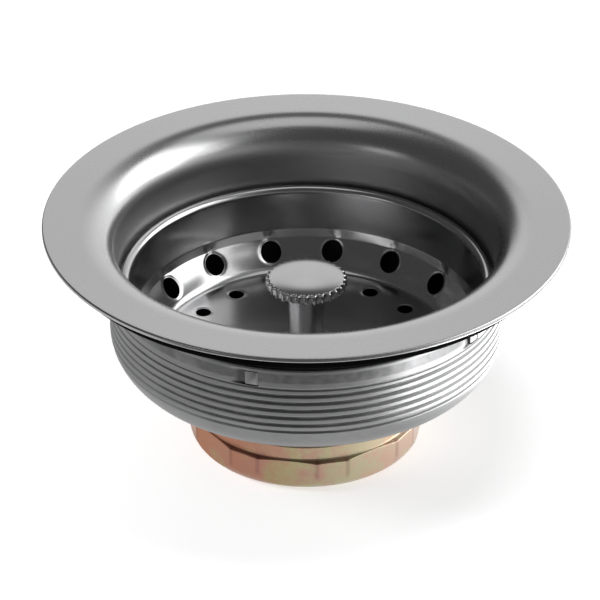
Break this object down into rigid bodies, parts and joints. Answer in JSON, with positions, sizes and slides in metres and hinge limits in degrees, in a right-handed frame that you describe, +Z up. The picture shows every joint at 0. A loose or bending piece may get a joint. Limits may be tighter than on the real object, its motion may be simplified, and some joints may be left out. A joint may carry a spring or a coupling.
{
  "type": "sink basket strainer",
  "caption": "Flanged kitchen sink drain with a threaded shank, a lift-out perforated basket with centre post and knob, and a slip nut for the tailpiece.",
  "frame": {"origin": "on the drain's axis, in the plane of the slip nut's lower face, on which the part stands", "axes": "+Z up the drain's axis to the flange, +X to the right and +Y away from the viewer in the picture"},
  "size_m": [0.1142, 0.1142, 0.054],
  "materials": {
    "satin_stainless": "satin drawn stainless steel",
    "rolled_steel": "bright rolled steel with a fine turned grain",
    "polished_stainless": "polished pressed stainless steel",
    "knob_steel": "satin top with bright scalloped edge",
    "yellow_zinc": "yellow chromate zinc plate with pink and olive tints",
    "black_rubber": "matt moulded rubber",
    "white_washer": "matt moulded plastic"
  },
  "bodies": {
    "drain_body": {"strainer_cup": "satin_stainless", "flange_gasket": "black_rubber", "threaded_shank": "rolled_steel", "crossbar": "satin_stainless"},
    "stopper": {"basket_stopper": "black_rubber"},
    "basket": {"strainer_basket": "polished_stainless", "basket_post": "polished_stainless", "basket_knob": "knob_steel", "stopper_plate": "polished_stainless", "post_nut": "satin_stainless"},
    "slip_washer": {"slip_washer": "white_washer"},
    "slip_nut": {"slip_nut": "yellow_zinc"}
  },
  "joints": [
    {"name": "basket_lift", "type": "slide", "parent": "drain_body", "child": "stopper", "axis": [0, 0, 1], "range_m": [0, 0.06]},
    {"name": "basket_turn", "type": "hinge", "parent": "stopper", "child": "basket", "pos_m": [0, 0, 0.018], "axis": [0, 0, 1], "continuous": true},
    {"name": "nut_travel", "type": "slide", "parent": "drain_body", "child": "slip_washer", "axis": [0, 0, -1], "range_m": [0, 0.00884]},
    {"name": "nut_turn", "type": "hinge", "parent": "slip_washer", "child": "slip_nut", "pos_m": [0, 0, 0.005], "axis": [0, 0, -1], "range_deg": [0, 1440]}
  ],
  "couplings": [
    {"joint": "nut_travel", "follows": "nut_turn", "m_per_rad": 0.00035157}
  ]
}
